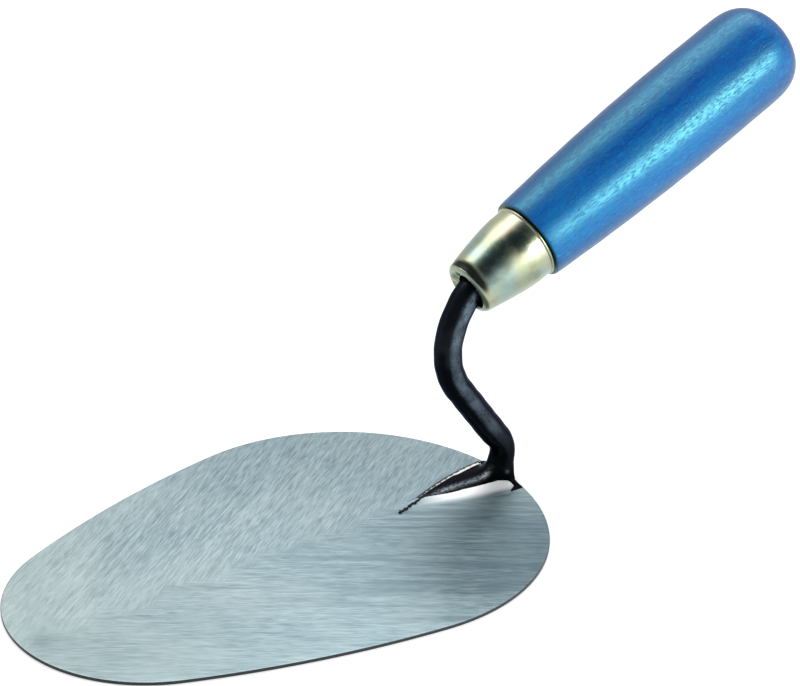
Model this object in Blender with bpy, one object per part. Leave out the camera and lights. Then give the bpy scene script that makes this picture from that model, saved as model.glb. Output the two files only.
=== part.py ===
"""A mason's hand trowel with an egg-shaped blade, an S-shaped neck and a turned wooden handle.

The pieces are those that would lie on a bench: the ground blade, the forged neck with its tongue
and tang, the weld metal that joins neck and blade, the drawn ferrule and the handle.

Metres, +Z up. The blade lies flat on Z = 0 with its tip towards -X, and the handle rises towards +X.
Y = 0 is the plane of symmetry. The pieces are worked out from the middle of the heel edge, and at the
end the whole assembly is moved so that X = 0 is the middle of its overall length.
"""

from math import asin, atan2, ceil, cos, hypot, pi, radians, sin

import bmesh
import bpy
import numpy as np

# Blade: a flat underside, and an outline of four tangent arcs on each side of the axis
BLADE_LENGTH = 0.1800
BLADE_WIDTH = 0.1319
HEEL_RADIUS = 0.0692
HEEL_HALF_ANGLE_DEG = 34.0
SIDE_RADIUS = 0.3074
TIP_RADIUS = 0.0471
EDGE_THICKNESS = 0.0011
MIDDLE_THICKNESS = 0.0019
MIDDLE_FROM_HEEL = 0.0400
EDGE_CHAMFER = 0.0002

# Neck: a round bar, bent in the plane of symmetry. Headings are measured upwards from +X.
BAR_DIAMETER = 0.0091
FOOT_FROM_HEEL = 0.0021
FOOT_HEIGHT = 0.0066
SHANK_LENGTH = 0.0272
FOOT_HEADING_DEG = 81.3
SHANK_HEADING_DEG = 125.5
BROW_HEADING_DEG = 74.5
THROAT_HEADING_DEG = 47.3
HANDLE_HEADING_DEG = 24.4
FOOT_BEND_RADIUS = 0.0103
KNEE_BEND_RADIUS = 0.0234
BROW_BEND_RADIUS = 0.0309
THROAT_BEND_RADIUS = 0.0115
FLARE_HEIGHT = 0.0060
FLARE_SPREAD = 0.0015

# Root of the neck: a tongue forward along the blade and a low flange along the heel
TONGUE_LENGTH = 0.0315
TONGUE_WIDTH = 0.0118
TONGUE_EDGE = 0.0005
TONGUE_CROWN = 0.0010
CROWN_POWER = 1.5
ROOT_FILLET_HEIGHT = 0.0038
ROOT_FILLET_REACH = 0.0028
FLANGE_LEFT_REACH = 0.0092
FLANGE_RIGHT_REACH = 0.0122
FLANGE_WIDTH = 0.0024
FLANGE_HEIGHT = 0.0009
FLANGE_END_DROP = 0.6

# Weld metal: a dressed fillet on each side of the tongue, and a bead under the neck behind the heel
LEFT_FILLET_LENGTH = 0.0375
LEFT_FILLET_REACH = 0.0102
RIGHT_FILLET_LENGTH = 0.0415
RIGHT_FILLET_REACH = 0.0128
FILLET_FEATHER = 0.0001
FILLET_TIP_SHARE = 0.4
FILLET_POWER = 1.6
BEAD_LENGTH = 0.0150
BEAD_BULGE = 0.0026
BEAD_FOOT_SHARE = 0.6
BEAD_TOP_SHARE = 0.9
BEAD_CLEAR_OF_GROUND = 0.00015

# Tang: the neck's bar runs a little way into the wood and then tapers as a square spike
BAR_IN_WOOD = 0.0080
TANG_SHOULDER = 0.0020
TANG_LENGTH = 0.0660
TANG_ROOT_WIDTH = 0.0066
TANG_TIP_WIDTH = 0.0024
SQUARE_POWER = 8
BORE_RUN_OUT = 0.0020

# Ferrule: a drawn steel cap, narrower at the nose, with a rolled lip against the wood
FERRULE_LENGTH = 0.0259
FERRULE_WALL = 0.0008
FERRULE_POWER = 1.5
NOSE_DIAMETER = 0.0190
NOSE_HOLE_DIAMETER = 0.0146
NOSE_ROUND = 0.0021
NOSE_AHEAD_OF_BEND = 0.0041
BODY_DIAMETER = 0.0249
BODY_LENGTH = 0.0055
LIP_DIAMETER = 0.0258
LIP_ROLL = 0.0005
LIP_RELIEF = 0.0002

# Handle: turned wood, with a tenon in the ferrule and a blind bore for the tang
HANDLE_LENGTH = 0.1118
HANDLE_THROAT_DIAMETER = 0.0280
HANDLE_BELLY_DIAMETER = 0.0339
BELLY_FROM_LIP = 0.0778
BUTT_LENGTH = 0.0158
BUTT_FULLNESS = 2.8
BUTT_TAPER = 0.0003
SHOULDER_ROUND = 0.0004
TENON_RECESS = 0.0047

# Clearance between pieces that touch or fit into each other
FIT_GAP = 0.0003
# Step in level between the undersides of the stocks that are joined into the neck
JOIN_STEP = 0.0001

# Fineness of the faces
OUTLINE_STEP = 0.0050
BLADE_SHARES = (0.9, 0.75, 0.6, 0.45, 0.3, 0.15)
LEAF_STATIONS = 21
END_CUT = 0.02
BAR_SIDES = 24
TURNED_SIDES = 40
GRIP_STATIONS = 11
BEND_STEP_DEG = 7.0
SMOOTH_UP_TO_DEG = 40.0


def clear_scene():
    for thing in list(bpy.data.objects):
        bpy.data.objects.remove(thing, do_unlink=True)


def finish(name, colour, roughness, metallic):
    """A plain material of the piece's own."""
    material = bpy.data.materials.new(name)
    material.use_nodes = True
    shader = material.node_tree.nodes["Principled BSDF"]
    shader.inputs["Base Color"].default_value = (*colour, 1.0)
    shader.inputs["Roughness"].default_value = roughness
    shader.inputs["Metallic"].default_value = metallic
    material.diffuse_color = (*colour, 1.0)
    return material


def skin(name, rings, material, loop=False):
    """A closed body through rings of equal count. A ring of one point is a pole. With loop, the last
    ring joins the first; otherwise an end ring that is no pole is filled flat."""
    bm = bmesh.new()
    rows = [[bm.verts.new(point) for point in ring] for ring in rings]
    pairs = list(zip(rows, rows[1:] + rows[:1])) if loop else list(zip(rows, rows[1:]))
    for low, high in pairs:
        count = max(len(low), len(high))
        for i in range(count):
            j = (i + 1) % count
            corners = [low[i % len(low)], low[j % len(low)], high[j % len(high)], high[i % len(high)]]
            bm.faces.new(list(dict.fromkeys(corners)))
    if not loop:
        for row in (rows[0], rows[-1]):
            if len(row) > 1:
                bm.faces.new(row)
    bmesh.ops.recalc_face_normals(bm, faces=bm.faces)
    mesh = bpy.data.meshes.new(name)
    bm.to_mesh(mesh)
    bm.free()
    mesh.materials.append(material)
    mesh.shade_smooth()
    mesh.set_sharp_from_angle(angle=radians(SMOOTH_UP_TO_DEG))
    body = bpy.data.objects.new(name, mesh)
    bpy.context.scene.collection.objects.link(body)
    return body


def unite(body, other):
    """Join another body into this one and keep it only as a hidden tool."""
    join = body.modifiers.new("join_" + other.name, "BOOLEAN")
    join.operation = "UNION"
    join.solver = "EXACT"
    join.object = other
    other.hide_render = True
    other.display_type = "WIRE"


# ---------------------------------------------------------------- blade

def outline_arcs():
    """The four arcs from the heel to the tip, as (centre from heel, centre off axis, radius, start,
    end): each is tangent to the next, the heel and tip arcs are centred on the axis, and the widest
    point of the shoulder arc gives the blade its width. Angles run from 0 at the heel to pi at the tip."""
    heel_end = radians(HEEL_HALF_ANGLE_DEG)
    shoulder = (BLADE_WIDTH / 2 - HEEL_RADIUS * sin(heel_end)) / (1 - sin(heel_end))
    shoulder_u = HEEL_RADIUS - (HEEL_RADIUS - shoulder) * cos(heel_end)
    shoulder_y = (HEEL_RADIUS - shoulder) * sin(heel_end)
    tip_u = BLADE_LENGTH - TIP_RADIUS
    # The side arc touches the shoulder arc and the tip arc from outside both
    to_shoulder = SIDE_RADIUS - shoulder
    to_tip = SIDE_RADIUS - TIP_RADIUS
    apart = hypot(tip_u - shoulder_u, shoulder_y)
    along = (to_shoulder**2 - to_tip**2 + apart**2) / (2 * apart)
    across = (to_shoulder**2 - along**2) ** 0.5
    du, dy = (tip_u - shoulder_u) / apart, -shoulder_y / apart
    side_u = shoulder_u + along * du + across * dy
    side_y = shoulder_y + along * dy - across * du
    side_start = atan2(shoulder_y - side_y, side_u - shoulder_u)
    side_end = atan2(-side_y, side_u - tip_u)
    return (
        (HEEL_RADIUS, 0.0, HEEL_RADIUS, 0.0, heel_end),
        (shoulder_u, shoulder_y, shoulder, heel_end, side_start),
        (side_u, side_y, SIDE_RADIUS, side_start, side_end),
        (tip_u, 0.0, TIP_RADIUS, side_end, pi),
    )


def blade_outline():
    """The closed outline as X and Y, from the middle of the heel round by +Y to the tip and back."""
    half = []
    for centre_u, centre_y, radius, start, end in outline_arcs():
        steps = max(2, ceil(radius * (end - start) / OUTLINE_STEP))
        turn = np.linspace(start, end, steps, endpoint=False)
        half.append(np.column_stack((radius * np.cos(turn) - centre_u, centre_y + radius * np.sin(turn))))
    half = np.vstack(half)
    tip = np.array([[-BLADE_LENGTH, 0.0]])
    back = half[:0:-1] * (1, -1)
    return np.vstack((half, tip, back))


OUTLINE = blade_outline()
MIDDLE = np.array([-MIDDLE_FROM_HEEL, 0.0])


def inset(outline, distance):
    """The outline moved inwards by a distance, square to itself."""
    tangent = np.roll(outline, -1, axis=0) - np.roll(outline, 1, axis=0)
    tangent /= np.linalg.norm(tangent, axis=1, keepdims=True)
    return outline + distance * np.column_stack((-tangent[:, 1], tangent[:, 0]))


def thickness_at(share):
    """Blade thickness at a share of the way from the middle point to the edge: it falls by the square."""
    return EDGE_THICKNESS + (MIDDLE_THICKNESS - EDGE_THICKNESS) * (1 - share**2)


def blade_top(x, y):
    """Height of the blade's ground face over a point of the plan, and the edge height outside it."""
    spokes = OUTLINE - MIDDLE
    angles = np.arctan2(spokes[:, 1], spokes[:, 0])
    order = np.argsort(angles)
    reach = np.hypot(spokes[:, 0], spokes[:, 1])
    at = np.array([x, y], float) - MIDDLE
    limit = np.interp(atan2(at[1], at[0]), angles[order], reach[order], period=2 * pi)
    return float(thickness_at(min(1.0, hypot(*at) / limit)))


def flat_ring(outline, height):
    return [(x, y, height) for x, y in outline]


def make_blade():
    edge = inset(OUTLINE, EDGE_CHAMFER)
    rings = [
        flat_ring(edge, 0.0),
        flat_ring(OUTLINE, EDGE_CHAMFER),
        flat_ring(OUTLINE, EDGE_THICKNESS - EDGE_CHAMFER),
        flat_ring(edge, EDGE_THICKNESS),
    ]
    for share in BLADE_SHARES:
        rings.append(flat_ring(MIDDLE + share * (edge - MIDDLE), thickness_at(share)))
    rings.append([(*MIDDLE, MIDDLE_THICKNESS)])
    return skin("blade", rings, finish("ground_steel", (0.55, 0.60, 0.61), 0.35, 0.9))


# ---------------------------------------------------------------- neck

def bar_path():
    """Points and headings of the bar's middle line, from the foot up to where it meets the handle's
    axis: a short rise, the foot bend, the straight shank, and three bends back over the blade."""
    point = np.array([-FOOT_FROM_HEEL, blade_top(-FOOT_FROM_HEEL, 0.0) + FIT_GAP])
    heading = radians(FOOT_HEADING_DEG)
    path = [(point, heading)]

    def straight(length, steps):
        start = path[-1][0]
        for step in range(1, steps + 1):
            ahead = np.array([cos(heading), sin(heading)])
            path.append((start + ahead * length * step / steps, heading))

    def bend(to_deg, radius):
        start, turned = path[-1][0], radians(to_deg) - heading
        side = 1 if turned > 0 else -1
        centre = start + side * radius * np.array([-sin(heading), cos(heading)])
        steps = max(2, ceil(abs(turned) / radians(BEND_STEP_DEG)))
        for step in range(1, steps + 1):
            now = heading + turned * step / steps
            path.append((centre - side * radius * np.array([-sin(now), cos(now)]), now))
        return radians(to_deg)

    straight(FOOT_HEIGHT, 5)
    heading = bend(SHANK_HEADING_DEG, FOOT_BEND_RADIUS)
    straight(SHANK_LENGTH, 2)
    heading = bend(BROW_HEADING_DEG, KNEE_BEND_RADIUS)
    heading = bend(THROAT_HEADING_DEG, BROW_BEND_RADIUS)
    heading = bend(HANDLE_HEADING_DEG, THROAT_BEND_RADIUS)
    return path


PATH = bar_path()
AXIS_START = PATH[-1][0]
AXIS_HEADING = PATH[-1][1]
# Places along the handle's axis, counted from where the neck's last bend ends
NOSE_AT = -NOSE_AHEAD_OF_BEND
LIP_AT = NOSE_AT + FERRULE_LENGTH
TENON_AT = NOSE_AT + TENON_RECESS
SEAT_AT = TENON_AT + BAR_IN_WOOD
TANG_AT = SEAT_AT + TANG_SHOULDER
TANG_TIP_AT = TANG_AT + TANG_LENGTH


def cross_ring(point, heading, reach, sides):
    """A ring square to a heading in the plane of symmetry, with its reach given for every angle. It has
    no point in that plane, where the tongue's ridge runs, so that a union meets no corner on a corner."""
    around = (np.arange(sides) + 0.5) * 2 * pi / sides
    out = reach(around) * np.ones(sides)
    up = out * np.sin(around)
    return [
        (point[0] - u * sin(heading), o * cos(a), point[1] + u * cos(heading))
        for u, o, a in zip(up, out, around)
    ]


def axis_ring(place, reach, sides=TURNED_SIDES):
    """A ring round the handle's axis at a place along it."""
    point = AXIS_START + place * np.array([cos(AXIS_HEADING), sin(AXIS_HEADING)])
    return cross_ring(point, AXIS_HEADING, reach, sides)


def round_of(radius):
    return lambda around: radius


def square_of(width):
    """The reach of a square section, a superellipse whose even power rounds its corners."""
    def reach(around):
        both = np.cos(around) ** SQUARE_POWER + np.sin(around) ** SQUARE_POWER
        return width / 2 * both ** (-1 / SQUARE_POWER)
    return reach


def bar_radius(height):
    """The bar spreads towards its foot by the square of the height left."""
    left = max(0.0, 1 - height / FLARE_HEIGHT)
    return BAR_DIAMETER / 2 + FLARE_SPREAD * left**2


def seated(ring):
    """The lowest ring, its points dropped onto the blade's face with the clearance under them."""
    return [(x, y, blade_top(x, y) + FIT_GAP) for x, y, _ in ring]


def make_bar(material):
    foot = PATH[0][0][1]
    rings = [cross_ring(p, h, round_of(bar_radius(p[1] - foot)), BAR_SIDES) for p, h in PATH]
    rings[0] = seated(rings[0])
    rings.append(axis_ring(SEAT_AT, round_of(BAR_DIAMETER / 2), BAR_SIDES))
    rings.append(axis_ring(TANG_AT, square_of(TANG_ROOT_WIDTH), BAR_SIDES))
    rings.append(axis_ring(TANG_TIP_AT, square_of(TANG_TIP_WIDTH), BAR_SIDES))
    return skin("neck", rings, material)


def tongue_half_width(from_heel):
    """The tongue's plan is a parabola that closes at its tip."""
    return TONGUE_WIDTH / 2 * max(0.0, 1 - (from_heel / TONGUE_LENGTH) ** 2)


def tongue_crown(from_heel):
    """The ridge over the tongue's edges. It rises to the front of the bar in a hollow fillet, which
    falls to a quarter of its height over its reach."""
    ahead = max(0.0, from_heel - FOOT_FROM_HEEL - BAR_DIAMETER / 2)
    ridge = TONGUE_CROWN * (1 - (from_heel / TONGUE_LENGTH) ** 2)
    return ridge + ROOT_FILLET_HEIGHT * 4.0 ** (-ahead / ROOT_FILLET_REACH)


def make_tongue(material):
    rings = []
    for share in np.linspace(END_CUT, 1 - END_CUT, LEAF_STATIONS):
        from_heel = TONGUE_LENGTH * share
        half = tongue_half_width(from_heel)
        across = np.linspace(-1, 1, 9)
        top = [TONGUE_EDGE + tongue_crown(from_heel) * (1 - a**2) ** CROWN_POWER for a in across]
        base = [blade_top(-from_heel, a * half) + FIT_GAP + JOIN_STEP for a in across]
        over = [(-from_heel, a * half, b + t) for a, b, t in zip(across, base, top)]
        under = [(-from_heel, a * half, b) for a, b in zip(across[::-4], base[::-4])]
        rings.append(over + under)
    return skin("tongue_stock", rings, material)


def on_heel(y, inwards):
    """X of a line that runs inside the heel arc at a distance."""
    radius = HEEL_RADIUS - inwards
    return (radius**2 - y**2) ** 0.5 - HEEL_RADIUS


def make_flange(material):
    """A low rib along the heel edge, highest on the axis; it reaches less far on the left, at +Y."""
    rings = []
    for share in np.linspace(-1, 1, LEAF_STATIONS):
        y = share * (FLANGE_LEFT_REACH if share > 0 else FLANGE_RIGHT_REACH)
        rise = FLANGE_HEIGHT * (1 - FLANGE_END_DROP * share**2)
        outer = on_heel(y, EDGE_CHAMFER)
        inner = on_heel(y, FLANGE_WIDTH)
        middle = (outer + inner) / 2
        heights = {x: blade_top(x, y) + FIT_GAP + 2 * JOIN_STEP for x in (outer, middle, inner)}
        rings.append([
            (outer, y, heights[outer]),
            (outer, y, heights[outer] + rise / 2),
            (middle, y, heights[middle] + rise),
            (inner, y, heights[inner] + rise / 2),
            (inner, y, heights[inner]),
        ])
    return skin("flange_stock", rings, material)


def make_neck():
    material = finish("black_lacquer", (0.02, 0.022, 0.025), 0.35, 0.3)
    neck = make_bar(material)
    unite(neck, make_tongue(material))
    unite(neck, make_flange(material))
    return neck


# ---------------------------------------------------------------- weld metal

def make_fillet(name, side, length, reach, flange_reach, material):
    """A dressed fillet from the flange to where it closes ahead of the tongue: high along the tongue's
    edge, falling in a hollow curve to a feather edge on the blade. Its outer edge in plan is a parabola
    that starts at its reach from the axis; side is 1 for +Y and -1 for -Y."""
    start = FIT_GAP - on_heel(flange_reach, FLANGE_WIDTH)
    rings = []
    for from_heel in np.linspace(start, (1 - END_CUT) * length, LEAF_STATIONS):
        inner = tongue_half_width(from_heel) + FIT_GAP
        outer = max(reach * (1 - (from_heel / length) ** 2), inner + FIT_GAP)
        height = TONGUE_EDGE * min(1.0, FILLET_TIP_SHARE + tongue_half_width(from_heel) / TONGUE_EDGE)
        across = np.linspace(0, 1, 5)
        ys = inner + across * (outer - inner)
        base = [blade_top(-from_heel, side * y) + FIT_GAP for y in ys]
        top = FILLET_FEATHER + height * (1 - across) ** FILLET_POWER
        over = [(-from_heel, side * y, b + t) for y, b, t in zip(ys, base, top)]
        under = [(-from_heel, side * y, b) for y, b in zip(ys[::-2], base[::-2])]
        rings.append(over + under)
    return skin(name, rings, material)


def make_bead(material):
    """The bead behind the heel edge, under the part of the neck's foot that stands out over it."""
    low = BEAD_CLEAR_OF_GROUND
    high = EDGE_THICKNESS
    rings = []
    for share in np.linspace(END_CUT - 1, 1 - END_CUT, LEAF_STATIONS):
        y = share * BEAD_LENGTH / 2
        inner = on_heel(y, -FIT_GAP)
        bulge = BEAD_BULGE * (1 - share**2)
        rings.append([
            (inner, y, low),
            (inner + BEAD_FOOT_SHARE * bulge, y, low),
            (inner + bulge, y, (low + high) / 2),
            (inner + BEAD_TOP_SHARE * bulge, y, high),
            (inner, y, high),
        ])
    return skin("weld_heel", rings, material)


# ---------------------------------------------------------------- ferrule

def ferrule_radius(place):
    """Outer radius of the ferrule's wall at a place along the axis: from the nose's radius to the body's
    along a curve that bulges slightly outwards."""
    start = NOSE_AT + NOSE_ROUND
    end = LIP_AT - BODY_LENGTH
    share = min(1.0, max(0.0, (place - start) / (end - start)))
    return (NOSE_DIAMETER + (BODY_DIAMETER - NOSE_DIAMETER) * (1 - (1 - share) ** FERRULE_POWER)) / 2


def make_ferrule():
    """The wall's section, carried round the axis: out over the nose, back along the outside, round the
    rolled lip, and forward along the inside."""
    nose_radius = NOSE_DIAMETER / 2
    inner_round = NOSE_ROUND - FERRULE_WALL
    corner = (NOSE_AT + NOSE_ROUND, nose_radius - NOSE_ROUND)
    lip = (LIP_AT - LIP_ROLL, LIP_DIAMETER / 2 - LIP_ROLL)
    body = np.linspace(NOSE_AT + NOSE_ROUND, LIP_AT - 2 * LIP_ROLL - LIP_RELIEF, GRIP_STATIONS)
    section = [(NOSE_AT + FERRULE_WALL, NOSE_HOLE_DIAMETER / 2), (NOSE_AT, NOSE_HOLE_DIAMETER / 2)]
    for turn in np.linspace(0, pi / 2, 5)[:-1]:
        section.append((corner[0] - NOSE_ROUND * cos(turn), corner[1] + NOSE_ROUND * sin(turn)))
    section += [(place, ferrule_radius(place)) for place in body]
    for turn in np.linspace(0, pi, 6):
        section.append((lip[0] - LIP_ROLL * cos(turn), lip[1] + LIP_ROLL * sin(turn)))
    section.append((LIP_AT, ferrule_radius(LIP_AT) - FERRULE_WALL))
    section += [(place, ferrule_radius(place) - FERRULE_WALL) for place in body[::-1]]
    for turn in np.linspace(pi / 2, 0, 4)[1:]:
        section.append((corner[0] - inner_round * cos(turn), corner[1] + inner_round * sin(turn)))
    rings = [axis_ring(place, round_of(radius)) for place, radius in section]
    return skin("ferrule", rings, finish("zinc_plate", (0.72, 0.72, 0.55), 0.25, 1.0), loop=True)


# ---------------------------------------------------------------- handle

def handle_radius(from_lip):
    """Radius of the turned grip: a flat parabola from the throat to the belly, a slighter one behind
    it, and a superellipse that closes the butt."""
    belly = HANDLE_BELLY_DIAMETER / 2
    if from_lip <= BELLY_FROM_LIP:
        rise = belly - HANDLE_THROAT_DIAMETER / 2
        return belly - rise * (1 - from_lip / BELLY_FROM_LIP) ** 2
    behind = (from_lip - BELLY_FROM_LIP) / (HANDLE_LENGTH - BELLY_FROM_LIP)
    into_butt = max(0.0, (from_lip - HANDLE_LENGTH + BUTT_LENGTH) / BUTT_LENGTH)
    closing = max(0.0, 1 - into_butt**BUTT_FULLNESS) ** (1 / BUTT_FULLNESS)
    return (belly - BUTT_TAPER * behind**2) * closing


def bore_rings():
    """The blind bore, from its end to the mouth in the tenon: the tang's own sections, grown by the
    clearance, so that the spike fits it all the way."""
    grown = 2 * FIT_GAP
    return [
        [tuple(np.mean(axis_ring(TANG_TIP_AT + BORE_RUN_OUT, round_of(1.0)), axis=0))],
        axis_ring(TANG_TIP_AT + BORE_RUN_OUT, square_of(TANG_TIP_WIDTH + grown)),
        axis_ring(TANG_TIP_AT, square_of(TANG_TIP_WIDTH + grown)),
        axis_ring(TANG_AT + FIT_GAP, square_of(TANG_ROOT_WIDTH + grown)),
        axis_ring(SEAT_AT + FIT_GAP, round_of(BAR_DIAMETER / 2 + FIT_GAP)),
        axis_ring(TENON_AT, round_of(BAR_DIAMETER / 2 + FIT_GAP)),
    ]


def tenon_radius(place):
    return ferrule_radius(place) - FERRULE_WALL - FIT_GAP


def make_handle():
    shoulder_at = LIP_AT + FIT_GAP
    throat = HANDLE_THROAT_DIAMETER / 2
    rings = bore_rings()
    rings.append(axis_ring(TENON_AT, round_of(tenon_radius(TENON_AT) - SHOULDER_ROUND)))
    tenon = np.linspace(TENON_AT + SHOULDER_ROUND, shoulder_at, GRIP_STATIONS)
    rings += [axis_ring(place, round_of(tenon_radius(place))) for place in tenon]
    rings.append(axis_ring(shoulder_at, round_of(throat - SHOULDER_ROUND)))
    grip = np.linspace(SHOULDER_ROUND, HANDLE_LENGTH - BUTT_LENGTH, GRIP_STATIONS)
    rings += [axis_ring(shoulder_at + place, round_of(handle_radius(place))) for place in grip]
    for turn in np.linspace(0, pi / 2, GRIP_STATIONS)[1:-1]:
        place = HANDLE_LENGTH - BUTT_LENGTH * (1 - sin(turn))
        rings.append(axis_ring(shoulder_at + place, round_of(handle_radius(place))))
    end = axis_ring(shoulder_at + HANDLE_LENGTH, round_of(1.0))
    rings.append([tuple(np.mean(end, axis=0))])
    return skin("handle", rings, finish("blue_stained_wood", (0.02, 0.22, 0.60), 0.35, 0.0))


# ---------------------------------------------------------------- assembly

def centre_on_length(bodies):
    """Carry every piece on one empty, moved so that the overall length is centred on X = 0."""
    frame = bpy.data.objects.new("trowel_frame", None)
    bpy.context.scene.collection.objects.link(frame)
    corners = [v.co.x for body in bodies for v in body.data.vertices]
    for body in bpy.context.scene.objects:
        if body is not frame:
            body.parent = frame
    frame.location.x = -(min(corners) + max(corners)) / 2
    bpy.context.view_layer.update()


def main():
    clear_scene()
    dressed = finish("dressed_weld", (0.70, 0.72, 0.72), 0.30, 0.9)
    black_weld = finish("black_weld", (0.02, 0.02, 0.02), 0.5, 0.2)
    bodies = [
        make_blade(),
        make_neck(),
        make_fillet("weld_left", 1, LEFT_FILLET_LENGTH, LEFT_FILLET_REACH, FLANGE_LEFT_REACH, dressed),
        make_fillet("weld_right", -1, RIGHT_FILLET_LENGTH, RIGHT_FILLET_REACH, FLANGE_RIGHT_REACH, dressed),
        make_bead(black_weld),
        make_ferrule(),
        make_handle(),
    ]
    centre_on_length(bodies)


main()
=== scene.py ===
# %% [markdown]
# # A plasterer's hand trowel
#
# The real tool is a ground steel blade, a forged neck that ends in a tongue on the blade, the weld that
# holds the two together, a drawn ferrule and a turned handle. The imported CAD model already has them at
# their true size. This script gives each one its finer shape and its finish, and then sets up the
# studio that the tool is photographed in.

from math import cos, pi, radians, sin

import bpy
import numpy as np
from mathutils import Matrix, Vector


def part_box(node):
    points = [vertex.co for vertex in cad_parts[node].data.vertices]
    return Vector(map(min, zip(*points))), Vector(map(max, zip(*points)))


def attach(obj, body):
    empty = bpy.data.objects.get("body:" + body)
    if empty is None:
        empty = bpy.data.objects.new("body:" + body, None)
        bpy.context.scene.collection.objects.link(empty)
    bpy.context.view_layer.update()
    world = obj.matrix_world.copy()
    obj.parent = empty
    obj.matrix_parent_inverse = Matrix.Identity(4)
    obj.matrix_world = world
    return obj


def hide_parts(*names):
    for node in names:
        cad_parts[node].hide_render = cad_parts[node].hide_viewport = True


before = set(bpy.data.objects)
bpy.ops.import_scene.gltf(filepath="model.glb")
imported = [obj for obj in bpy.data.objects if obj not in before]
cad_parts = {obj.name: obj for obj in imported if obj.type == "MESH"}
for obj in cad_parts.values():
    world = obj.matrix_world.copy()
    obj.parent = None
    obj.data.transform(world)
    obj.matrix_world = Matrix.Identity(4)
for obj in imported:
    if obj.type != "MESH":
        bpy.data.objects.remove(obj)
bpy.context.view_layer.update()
HEEL_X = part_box("blade")[1].x

# %% [markdown]
# ## Surfaces from numbers
#
# A turned handle, a bent bar and a ground blade are each a ring of points that changes as it travels.
# They could be modelled by hand with extrusions. Here they are worked out with numpy, because then a
# shape is a formula that can be read, and it can be made as fine as a close view needs. Every point is
# counted from the middle of the blade's heel edge, in metres, and moved into the frame's own
# coordinates at the last moment.

# %% One closed surface through a grid of points
def faces_of(rows, columns, loop):
    """Corner numbers of a grid's quads. Its columns wrap round, and with loop its rows too. Otherwise
    each end is closed by triangles to a middle point, which follows the grid's own points."""
    here = np.arange(rows * columns).reshape(rows, columns)
    if loop:
        here = np.vstack((here, here[:1]))
    beside = np.roll(here, -1, axis=1)
    quads = np.stack((here[:-1], beside[:-1], beside[1:], here[1:]), axis=-1).reshape(-1, 4).tolist()
    if loop:
        return quads
    middles = np.full((2, columns), [[rows * columns], [rows * columns + 1]])
    near_cap = np.stack((middles[0], beside[0], here[0]), axis=-1)
    far_cap = np.stack((middles[1], here[-1], beside[-1]), axis=-1)
    return quads + near_cap.tolist() + far_cap.tolist()


def volume_of(points, faces):
    """The signed volume of a closed mesh: the sum of the pyramids from the origin to its faces. The last
    corner of a triangle is taken twice, which adds nothing."""
    corner = points[np.array([(*face, face[-1])[:4] for face in faces])]
    cross = np.cross(corner[:, 1], corner[:, 2]) + np.cross(corner[:, 2], corner[:, 3])
    return float((corner[:, 0] * cross).sum()) / 6


def in_scene(name, data):
    """An object of that name in the scene: a mesh, a lamp or a camera."""
    body = bpy.data.objects.new(name, data)
    bpy.context.scene.collection.objects.link(body)
    return body


def piece_from(name, points, faces, material, marks=None):
    """A smooth object from points and faces, in the frame's coordinates, with its faces turned outwards.
    Marks are named values for each point, which a material may read as attributes."""
    points = np.asarray(points, float) + (HEEL_X, 0.0, 0.0)
    if volume_of(points, faces) < 0:
        faces = [face[::-1] for face in faces]
    mesh = bpy.data.meshes.new(name)
    mesh.from_pydata(points.tolist(), [], faces)
    for mark, values in (marks or {}).items():
        mesh.attributes.new(mark, "FLOAT", "POINT").data.foreach_set("value", np.float32(values))
    mesh.materials.append(material)
    mesh.shade_smooth()
    print(f"{name}: {len(points)} points, {len(faces)} faces")
    return in_scene(name, mesh)


def woven(name, grid, material, loop=False, marks=None):
    """A closed surface through a grid of rows, columns and coordinates."""
    rows, columns = grid.shape[:2]
    points = grid.reshape(-1, 3)
    marks = {mark: np.ravel(values) for mark, values in (marks or {}).items()}
    if not loop:
        points = np.vstack((points, grid[0].mean(axis=0), grid[-1].mean(axis=0)))
        marks = {mark: np.append(values, (values[:columns].mean(), values[-columns:].mean()))
                 for mark, values in marks.items()}
    return piece_from(name, points, faces_of(rows, columns, loop), material, marks)


def points_at(x, y, z):
    """Points from three arrays, each spread over the others' rows and columns."""
    return np.stack(np.broadcast_arrays(x, y, z), axis=-1)


def closed(top, base, step):
    """Rings from a top and every few columns of its base, which is walked back under it."""
    return np.concatenate((top, base[:, ::-step]), axis=1)


def ease(value, low, high):
    """A smooth step from 0 at low to 1 at high: three times the square less twice the cube."""
    share = np.clip((value - low) / (high - low), 0, 1)
    return share * share * (3 - 2 * share)


# %% [markdown]
# ## Small tools for materials
#
# Shader nodes can be wired by hand in Blender's editor. In a script the wiring is easier to follow when
# one short function adds a node and fills its sockets, so that a material reads from top to bottom.

# %% Nodes and materials
def fill(node, values):
    """Fill a node's inputs by name or number: a socket is linked, anything else is set."""
    for key, value in values.items():
        socket = node.inputs[key]
        if isinstance(value, bpy.types.NodeSocket):
            node.id_data.links.new(value, socket)
        elif socket.type == "RGBA":
            socket.default_value = (*value, 1.0)
        else:
            socket.default_value = value


def add(tree, kind, values=None, **settings):
    """One shader node, set and filled. The helpers below find its tree in a socket that feeds it."""
    node = tree.nodes.new("ShaderNode" + kind)
    for key, value in settings.items():
        setattr(node, key, value)
    fill(node, values or {})
    return node


def maths(operation, *values):
    tree = next(value.id_data for value in values if isinstance(value, bpy.types.NodeSocket))
    return add(tree, "Math", dict(enumerate(values)), operation=operation).outputs[0]


def product(first, second):
    return maths("MULTIPLY", first, second)


def remap(value, low, high, to_low=0.0, to_high=1.0):
    """Carry a value smoothly from one range to another, and stop at its ends."""
    values = {"Value": value, "From Min": low, "From Max": high, "To Min": to_low, "To Max": to_high}
    return add(value.id_data, "MapRange", values, interpolation_type="SMOOTHSTEP").outputs["Result"]


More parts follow.
